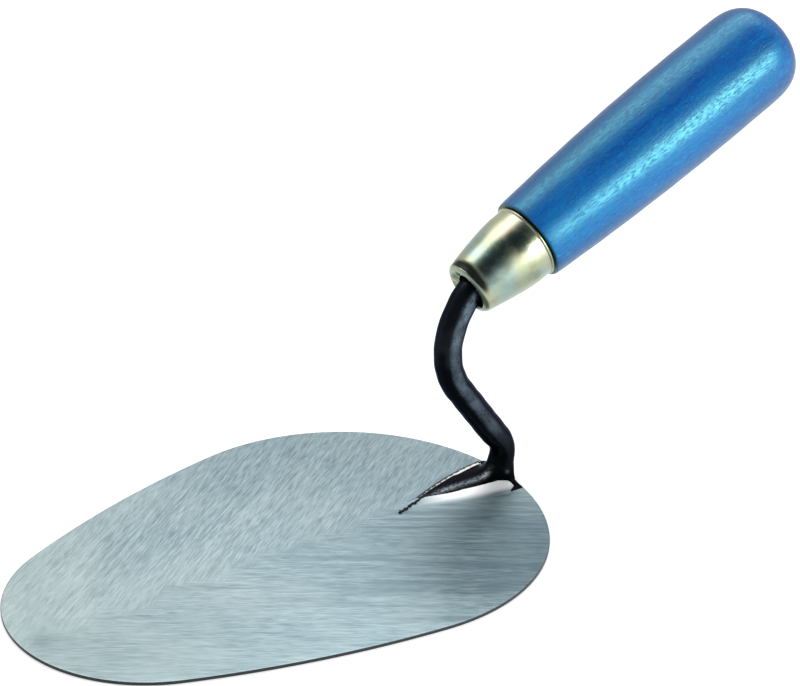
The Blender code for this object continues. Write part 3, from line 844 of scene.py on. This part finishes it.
def make_flank(name, side, length, reach, height, shade_line_width):
    """The base line runs from under the tongue to the flank's outer edge, the same power curve as the
    tongue's own side. Over it the top falls by a power of the share of the way out."""
    stations = np.linspace(FLANK_START, 0.985 * length, 90)[:, None]
    over = np.linspace(0, 1, 22)[None, :]
    share = np.clip(stations / TONGUE_LENGTH, 0, 1)
    inner = np.maximum(tongue_half(share, side) - FLANK_UNDER_TONGUE, -0.0002)
    inner = inner + side * TONGUE_SWAY * share**2
    outer = np.maximum(reach * (1 - (stations / length) ** TONGUE_POWER[side]), inner + FLANK_LEAST)
    plan = inner + over * (outer - inner)
    x, y, out, heel = np.broadcast_arrays(-stations, side * plan, over, 1 - stations / length)
    tall = height * heel**1.1
    top = blade_top(x, y) + FLANK_LIFT + tall * (1 - over) ** 1.7 - 2 * FLANK_LIFT * ease(over, 0.97, 1.0)
    rows = closed(points_at(x, y, top), points_at(x, y, FLANK_BASE), 3)
    wobble = 0.25 * np.sin(stations * 2100) + 0.2 * np.sin(stations * 4700 + 1)
    # Painted shade in the crease: a black line of wavering width along the flank's outer edge
    toe = ease(shade_line_width * (1 + wobble) - (outer - plan), -0.00015, 0.0) if shade_line_width else 0 * plan
    marks = {"out": closed(out, out, 3), "toe": closed(toe, toe, 3), "heel": closed(heel, heel, 3)}
    return woven(name, rows, DRESSED_WELD, marks=marks)


# A flank's side, length, reach at the heel, height there and width of its black toe line of painted shade
flanks = (
    (make_flank("weld_flank_far", 1, 0.0385, 0.0107, 0.0007, 0.0010), "weld_left"),
    (make_flank("weld_flank_near", -1, 0.0415, 0.0131, 0.0009, 0.0), "weld_right"),
)
for flank, node in flanks:
    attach(flank, "root")
    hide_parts(node)

# %% [markdown]
# Ahead of the tongue the two flanks close on each other in a crooked dark line, where the grinder did
# not reach the bottom of the weld. A dark line in the material would be flat, so it is a thin raised
# strip that follows a few listed points. Behind the heel a bead of weld metal, under the same
# lacquer as the neck, fills the corner below the foot.

# %% Seam and bead
SCALE_DARK = (0.003, 0.004, 0.006)
SCALE_GREY = (0.012, 0.015, 0.018)


def weld_scale(tree, place):
    grain = noise(place, 900.0)
    return {
        "Base Color": blended(grain, SCALE_DARK, SCALE_GREY), "Roughness": 0.55,
        "Specular IOR Level": 0.15, "Normal": bumped(grain, 0.6, 0.0002)}


WELD_SCALE = material_from(weld_scale)
SEAM_KNOTS = np.array([(-0.0300, 0.0013), (-0.0335, 0.0004), (-0.0357, -0.0006), (-0.0385, -0.0012),
                       (-0.0408, -0.0023), (-0.0434, -0.0028), (-0.0446, -0.0033)])
SEAM_HALF = 0.00030
SEAM_LIFT = 0.00040
SEAM_DEPTH = 0.0006


def make_seam():
    """A strip with a half-round top, whose middle line wanders and whose width swells and shrinks."""
    share = np.linspace(0, 1, 90)
    knots = np.arange(len(SEAM_KNOTS))
    x, y = [np.interp(share * knots[-1], knots, column) for column in SEAM_KNOTS.T]
    y = y + 0.00018 * np.sin(46 * share) + 0.00010 * np.sin(113 * share)
    half = SEAM_HALF + 0.00012 * np.sin(37 * share + 1) + 0.00025 * np.exp(-((share - 0.90) / 0.05) ** 2)
    half = half * ease(share, 0.0, 0.04) * ease(1 - share, 0.0, 0.06) + 0.00003
    turn = np.linspace(0, pi, 9)
    across = half[:, None] * np.cos(turn)
    rise = 0.00012 * np.sin(turn)[None, :] + 0.00004
    x, y = x[:, None], y[:, None] + across
    top = points_at(x, y, blade_top(x, y) + rise + SEAM_LIFT)
    return woven("weld_seam", closed(top, top - (0.0, 0.0, SEAM_DEPTH), 4), WELD_SCALE)


BEAD_MIDDLE = 0.0026
BEAD_HALF = 0.0052
BEAD_BULGE = 0.0013
BEAD_SUNK = 0.0006
BEAD_BASE = 0.0002
BEAD_OVER = 0.0003


def make_bead():
    """Weld metal behind the heel: a ring with a round back, carried along the heel arc."""
    share = np.linspace(-1, 1, 61)[:, None]
    y = BEAD_MIDDLE + share * BEAD_HALF
    turn = np.linspace(-pi / 2, pi / 2, 17)[None, :]
    bulge = BEAD_BULGE * (1 - share**2) ** 0.8 + 0.0001
    heel = np.sqrt(HEEL_RADIUS**2 - y**2) - HEEL_RADIUS - BEAD_SUNK
    half_height = (RIM_THICKNESS + BEAD_OVER - BEAD_BASE) / 2
    x = heel + (bulge + BEAD_SUNK) * np.cos(turn)
    z = BEAD_BASE + half_height * (1 + np.sin(turn))
    return woven("heel_bead", points_at(x, y, z), BLACK_LACQUER)


seam, bead = make_seam(), make_bead()
for piece in (seam, bead):
    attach(piece, "root")
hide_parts("weld_heel")

# %% [markdown]
# ## The ferrule
#
# The ferrule is pressed from thin sheet: a rolled lip against the wood, a straight body, a long curve
# inwards and a nose folded in round the neck. Its zinc plate is passivated, which leaves a greenish
# yellow sheen with pink and blue patches. A thin film shader could work them out from physics, but two
# slow noises that blend four colours are easier to match to the photograph.

# %% Zinc plate
ZINC_GREEN = (0.225, 0.285, 0.21)
ZINC_YELLOW = (0.40, 0.42, 0.275)
ZINC_ROSE = (0.66, 0.50, 0.42)
ZINC_COOL = (0.26, 0.40, 0.41)
ZINC_RUST = (0.62, 0.42, 0.26)
PAINTED_SHADE_BLACK = (0.012, 0.014, 0.012)


def zinc_plate(tree, place):
    patches = noise(place, 95.0, 3.0, 0.55)
    second = noise(stretched(place, (1.0, 1.0, 1.6)), 70.0, 2.0)
    yellow = blended(remap(patches, 0.35, 0.65), ZINC_GREEN, ZINC_YELLOW)
    rosy = blended(remap(second, 0.52, 0.72, 0.0, 0.6), yellow, ZINC_ROSE)
    cool = blended(remap(second, 0.46, 0.28, 0.0, 0.6), rosy, ZINC_COOL)
    rust = from_group(SPOTS, place, 330.0, 0.30, 0.42)[0]
    tarnished = blended(product(rust, 0.28), cool, ZINC_RUST)
    scratches = from_group(GROUND_LINES, place, 2600.0, 0.12, 0.3)[1]
    # Painted shade: black inside the ferrule and in its pleats, and a painted dark reflection in the crease
    painted_shade = mark_of(tree, "painted_shade")
    return {
        "Base Color": blended(painted_shade, tarnished, PAINTED_SHADE_BLACK), "Specular IOR Level": 0.10,
        "Roughness": remap(patches, 0.3, 0.7, 0.24, 0.36),
        "Metallic": maths("SUBTRACT", 1.0, product(painted_shade, 0.98)),
        "Normal": bumped(scratches, 0.15, 0.00006)}


ZINC_PLATE = material_from(zinc_plate)

# %% [markdown]
# A press folds the nose in, so its edge is pleated and a crease runs behind it. A Screw modifier would
# leave both perfectly round. Here every ring may have another radius at each angle. Black is painted
# shade inside the ferrule and in the pleats' hollows, and a painted dark reflection in the crease on the
# side that faces the viewer, a mark worked out from the same bells that press the crease in.

# %% Build the ferrule
FERRULE_WALL = 0.0008
FERRULE_POWER = 1.35
NOSE_RADIUS = 0.0190 / 2
NOSE_ROUND = 0.0021
HOLE_RADIUS = 0.0142 / 2
BODY_RADIUS = 0.0249 / 2
BODY_LENGTH = 0.0055
FOLD_SINK = 0.0004
FOLD_WIDTH = 0.0035
# The middle and width, in degrees, of the fold's widest part and of the crease
FOLD_DEG = (34.0, 52.0)
CREASE_DEG = (112.0, 50.0)
CREASE_AT = NOSE_AT + 0.0019
CREASE_HALF = 0.0014
CREASE_DEPTH = 0.00055
PLEAT_HEIGHT = 0.00060
LIP_ROLL = 0.0005
LIP_RADIUS = 0.0258 / 2


def ferrule_radius(place):
    """From the nose's radius to the body's along a curve that bulges slightly outwards."""
    share = np.clip((place - NOSE_AT - NOSE_ROUND) / (LIP_AT - BODY_LENGTH - NOSE_AT - NOSE_ROUND), 0, 1)
    return NOSE_RADIUS + (BODY_RADIUS - NOSE_RADIUS) * (1 - (1 - share) ** FERRULE_POWER)


def ferrule_section():
    """The wall's outline as places, radii and the share of the way down the nose's folded edge: out over
    the nose, along the outside, round the rolled lip, back along the inside and down to the fold."""
    def part(places, radii):
        return np.column_stack((places, radii, 0 * places))

    def arc(place, radius, size, turn):
        return part(place - size * np.cos(turn), radius + size * np.sin(turn))

    shoulder, turned_at = NOSE_RADIUS - NOSE_ROUND, NOSE_AT + NOSE_ROUND
    fold = np.linspace(1, 0, 9)
    face = np.column_stack((NOSE_AT + FOLD_SINK * fold, np.full(9, shoulder), fold))
    quarter = np.linspace(0, pi / 2, 12)[1:]
    nose = arc(turned_at, shoulder, NOSE_ROUND, quarter)
    body_at = np.linspace(turned_at, LIP_AT - 2.4 * LIP_ROLL, 40)[1:]
    body = part(body_at, ferrule_radius(body_at))
    lip = arc(LIP_AT - LIP_ROLL, LIP_RADIUS - LIP_ROLL, LIP_ROLL, np.linspace(0, 1.25 * pi, 14))
    inner_at = np.linspace(LIP_AT - LIP_ROLL, turned_at, 14)
    inner = part(inner_at, ferrule_radius(inner_at) - FERRULE_WALL)
    tuck = arc(turned_at, shoulder, NOSE_ROUND - FERRULE_WALL, quarter[::-1])
    back = face[::-1] + (FERRULE_WALL, 0.0, 0.0)
    return np.vstack((face, nose, body, lip, inner, tuck, back))


def window(around, middle_deg, width_deg):
    """A bell over the angle: 1 at its middle, near 0 past its width."""
    away = (around - radians(middle_deg) + pi) % (2 * pi) - pi
    return np.exp(-(away / radians(width_deg)) ** 2)


def make_ferrule():
    """The section carried round the axis. The folded edge reaches further in on one side of the neck,
    where it is pleated, and a crease runs behind the nose on the side that faces the viewer."""
    columns = 200
    section = ferrule_section()
    place, radius, fold = (section[:, i:i + 1] for i in range(3))
    around = angles(columns)[None, :]
    reach = NOSE_RADIUS - NOSE_ROUND - HOLE_RADIUS + FOLD_WIDTH * window(around, *FOLD_DEG)
    pleats = np.sin(13 * around + 0.8) + 0.6 * np.sin(22 * around + 2.0)
    crease = np.exp(-((place - CREASE_AT) / CREASE_HALF) ** 2) * window(around, *CREASE_DEG)
    outside = radius > ferrule_radius(place) - 0.5 * FERRULE_WALL
    radii = radius - fold * reach - CREASE_DEPTH * crease * outside
    grid = turned(section[:, 0], radii, columns)
    grid = grid + (fold * (1 - fold) * PLEAT_HEIGHT * pleats)[..., None] * GRIP_AXIS
    # Painted shade inside the ferrule and in the pleats' hollows, painted dark reflection in the crease
    inside = (~outside & (fold == 0) & (place > NOSE_AT + FERRULE_WALL)).astype(float)
    painted_shade = np.maximum(inside, ease(crease * outside, 0.10, 0.45))
    painted_shade = np.maximum(painted_shade, 0.45 * (fold > 0) * ease(-pleats, 0.2, 1.4))
    return woven("zinc_ferrule", grid, ZINC_PLATE, loop=True, marks={"painted_shade": painted_shade})


ferrule = make_ferrule()
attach(ferrule, "root")
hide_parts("ferrule")

# %% [markdown]
# ## The handle
#
# The handle is turned from beech and dipped in a translucent blue lacquer, so the wood's short dark
# flecks and its long growth lines show through, and they shine in the dye's own colour. An image of wood
# would show a seam where it meets itself. Noise runs right through the piece instead, as grain does: the
# coordinates are turned until X is the turning axis, and then stretched along it.

# %% Blue stained wood
DYE_DEEP = (0.001, 0.037, 0.25)
DYE_BRIGHT = (0.002, 0.085, 0.38)
DYE_PALE = (0.012, 0.240, 0.52)
DYE_DARK_AND_EDGE_SHADE = (0.001, 0.026, 0.19)
DYE_SHINE = (0.30, 0.95, 0.56)
INSIDE_SHADE_BLACK = (0.012, 0.012, 0.012)


def blue_stained_wood(tree, place):
    upright = rotated(place, GRIP_HEADING, 0.0)
    lines, height = from_group(GROUND_LINES, upright, 1300.0, 0.06, 0.5)
    flecks = noise(stretched(upright, (0.28, 1.0, 1.0)), 1900.0, 3.0, 0.6)
    dark_flecks = remap(flecks, 0.54, 0.66)
    bands = noise(stretched(upright, (0.12, 1.0, 1.0)), 55.0, 2.0)
    dye = blended(remap(bands, 0.35, 0.65), DYE_DEEP, DYE_BRIGHT)
    grained = blended(product(lines, 0.35), dye, DYE_PALE)
    flecked = blended(product(dark_flecks, 0.65), grained, DYE_DARK_AND_EDGE_SHADE)
    lively = blended(product(remap(flecks, 0.45, 0.33), 0.55), flecked, DYE_PALE)
    # Painted shade: the colour turns darker where the surface is seen sideways, towards the outline
    edge_shade = remap(add(tree, "LayerWeight", {"Blend": 0.5}).outputs["Facing"], 0.35, 0.75, 0.0, 0.80)
    edge_shaded = blended(edge_shade, lively, DYE_DARK_AND_EDGE_SHADE)
    height = maths("SUBTRACT", height, product(dark_flecks, 0.6))
    return {
        # Painted shade: black on the tenon inside the ferrule and in the groove behind its lip
        "Base Color": blended(mark_of(tree, "inner"), edge_shaded, INSIDE_SHADE_BLACK),
        "Roughness": remap(flecks, 0.3, 0.7, 0.28, 0.40), "Metallic": 0.06,
        "Specular IOR Level": 0.88, "Specular Tint": DYE_SHINE, "Normal": bumped(height, 0.34, 0.00014)}


BLUE_WOOD = material_from(blue_stained_wood)

# %% [markdown]
# On the lathe every cut across the handle comes out round, so one line from the throat to the butt says
# it all. It could be a Bezier curve that is dragged into place. Here it is a parabola and a
# superellipse, because their few numbers are the ones that a turner would measure.

# %% Build the handle
GRIP_AT = LIP_AT + 0.0003
GRIP_LENGTH = 0.1118
THROAT_RADIUS = 0.0280 / 2
BELLY_RADIUS = 0.0339 / 2
BELLY_AT = 0.0778
BUTT_LENGTH = 0.0158
BUTT_POWER = 2.8
BEHIND_BELLY = 0.0003
THROAT_ROUND = 0.0007
TENON_CLEAR = 0.0003
LATHE_WAVE = 0.00003
POLE_RADIUS = 0.00008


def grip_radius(place):
    """A parabola from the throat to the belly, a slight fall behind it, and a superellipse at the butt."""
    swell = BELLY_RADIUS - (BELLY_RADIUS - THROAT_RADIUS) * (1 - np.minimum(place, BELLY_AT) / BELLY_AT) ** 2
    behind = np.clip((place - BELLY_AT) / (GRIP_LENGTH - BELLY_AT), 0, 1)
    into = np.clip((place - GRIP_LENGTH + BUTT_LENGTH) / BUTT_LENGTH, 0, 1)
    return (swell - BEHIND_BELLY * behind**2) * np.clip(1 - into**BUTT_POWER, 0, 1) ** (1 / BUTT_POWER)


def make_handle():
    """Rows run from the tenon's end, along the tenon inside the ferrule, out over the rounded throat
    and along the grip to the butt, where they crowd together as the surface turns over."""
    tenon_at = np.linspace(TENON_AT, GRIP_AT, 16)
    tenon = np.column_stack((tenon_at, ferrule_radius(tenon_at) - FERRULE_WALL - TENON_CLEAR))
    corner = np.linspace(0, pi / 2, 8)
    throat = np.column_stack((
        GRIP_AT + THROAT_ROUND * (1 - np.cos(corner)), THROAT_RADIUS - THROAT_ROUND * (1 - np.sin(corner))))
    grip_at = np.linspace(THROAT_ROUND, GRIP_LENGTH - BUTT_LENGTH, 90)[1:]
    butt_at = GRIP_LENGTH - BUTT_LENGTH * (1 - np.sin(np.linspace(0, pi / 2, 30)[1:]))
    outer_at = np.concatenate((grip_at, butt_at))
    outer_radius = np.maximum(grip_radius(outer_at), POLE_RADIUS)
    lathe = LATHE_WAVE * np.sin(outer_at * 420) * (outer_at < GRIP_LENGTH - BUTT_LENGTH)
    outer = np.column_stack((GRIP_AT + outer_at, outer_radius + lathe))
    section = np.vstack((tenon, throat, outer))
    columns = 144
    # Painted shade: the tenon inside the ferrule is black, and the throat's rounding fades to black
    inner = np.zeros(len(section))
    inner[:len(tenon)] = 1
    inner[len(tenon):len(tenon) + len(throat)] = 1 - ease(np.arange(len(throat)), 0, 4)
    marks = {"inner": np.repeat(inner, columns)}
    return woven("turned_handle", turned(section[:, 0], section[:, 1], columns), BLUE_WOOD, marks=marks)


handle = make_handle()
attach(handle, "root")
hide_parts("handle")

# %% [markdown]
# ## The studio
#
# The tool lies on a plain white table in soft light. A round world of light would make the polished
# pieces look flat, so the sky has two dark parts. The one high up in front gives the ferrule and the
# handle the dark stripe that shows their roundness, and a fainter one on the left keeps what faces it
# from turning white. Photographs of a real studio could be used as a sky, but this is easier to move.

# %% Table and sky
TABLE_HALF = 3.0
TABLE_Z = -0.0001
TABLE_WHITE = (0.60, 0.60, 0.60)
TABLE_GLOW = 0.54
SKY_LIGHT = (0.80, 0.80, 0.80)
SKY_DARK = (0.010, 0.030, 0.045)
# Each dark part: its direction, the angles from it where it is darkest and where it ends, its darkness
DARK_PARTS = (((-0.05, -0.50, 0.865), 28.0, 50.0, 1.0), ((-0.85, -0.42, 0.30), 30.0, 58.0, 0.6))


def white_table(tree, place):
    """White paper. A little light is added for what looks at it directly or in a mirror, so that the
    table is white and still keeps the tool's shadow."""
    path = add(tree, "LightPath").outputs
    seen = maths("MAXIMUM", path["Is Camera Ray"], path["Is Glossy Ray"])
    seen = maths("MAXIMUM", seen, path["Is Transmission Ray"])
    glow = add(tree, "Emission", {"Strength": product(seen, TABLE_GLOW)}).outputs[0]
    both = add(tree, "AddShader", {0: tree.nodes["Principled BSDF"].outputs[0], 1: glow}).outputs[0]
    fill(tree.nodes["Material Output"], {"Surface": both})
    return {"Base Color": TABLE_WHITE, "Roughness": 0.9}


def make_table():
    corners = [(x * TABLE_HALF, y * TABLE_HALF, TABLE_Z) for x, y in ((-1, -1), (1, -1), (1, 1), (-1, 1))]
    mesh = bpy.data.meshes.new("table")
    mesh.from_pydata(corners, [], [(0, 1, 2, 3)])
    mesh.materials.append(material_from(white_table))
    return in_scene("table", mesh)


def make_sky():
    """White all round, with a dark part high in front and another on the left, behind the viewer."""
    world = bpy.data.worlds.new("studio")
    world.use_nodes = True
    bpy.context.scene.world = world
    tree = world.node_tree
    way = add(tree, "TexCoord").outputs["Generated"]
    share = 0.0
    for towards, inner_deg, outer_deg, darkness in DARK_PARTS:
        aim = add(tree, "VectorMath", {0: way, 1: towards}, operation="DOT_PRODUCT").outputs["Value"]
        part = remap(aim, cos(radians(outer_deg)), cos(radians(inner_deg)), 0.0, darkness)
        share = maths("MAXIMUM", share, part)
    fill(tree.nodes["Background"], {"Color": blended(share, SKY_LIGHT, SKY_DARK)})


table = make_table()
make_sky()


# %% [markdown]
# Polished steel shows the lamp itself, so a point lamp or a sun would leave hard glints. Two broad area
# lamps give wide soft ones: one high behind the tool and one low in front on the right. Each stands
# where its mirror image falls on the pieces that are bright in the photograph.

# %% Lamps
def make_lamp(name, target, towards, distance, size, power):
    """A rectangular lamp that looks at the target from a direction and a distance."""
    light = bpy.data.lights.new(name, "AREA")
    light.shape = "RECTANGLE"
    light.size, light.size_y = size
    light.energy = power
    lamp = in_scene(name, light)
    towards = np.array(towards) / np.linalg.norm(towards)
    lamp.location = np.array(target) + distance * towards
    lamp.rotation_euler = Vector(-towards).to_track_quat("-Z", "Y").to_euler()
    print(f"{name}: {np.round(lamp.location, 2)} m, {power} W")


make_lamp("overhead_softbox", (0.0, 0.0, 0.05), (0.08, 0.44, 0.89), 1.0, (1.35, 0.62), 7.6)
make_lamp("front_softbox", (0.08, 0.0, 0.10), (0.34, -0.93, 0.24), 0.75, (0.34, 0.36), 5.4)

# %% [markdown]
# ## The camera
#
# The photograph was taken with a long lens from the left of the handle, about 26 degrees above the
# table. A camera can be placed by eye. This one was fitted to the blade's outline, the ferrule's rim and
# the handle's axis, because the sizes of all pieces were read off through it.

# %% Camera
LENS_MM = 132.64
CAMERA_FROM_HEEL = (-0.52551, -0.66048, 0.46714)
CAMERA_ELEVATION_DEG = 26.423
CAMERA_AZIMUTH_DEG = -36.222


def make_camera():
    lens = bpy.data.cameras.new("camera")
    lens.lens = LENS_MM
    lens.sensor_width = 36.0
    camera = in_scene("camera", lens)
    camera.location = np.array(CAMERA_FROM_HEEL) + (HEEL_X, 0.0, 0.0)
    camera.rotation_euler = (radians(90 - CAMERA_ELEVATION_DEG), 0.0, radians(CAMERA_AZIMUTH_DEG))
    bpy.context.scene.camera = camera
    print(f"camera: {LENS_MM} mm lens, {np.round(camera.location, 2)} m")


make_camera()
bpy.context.scene.view_settings.view_transform = "Standard"
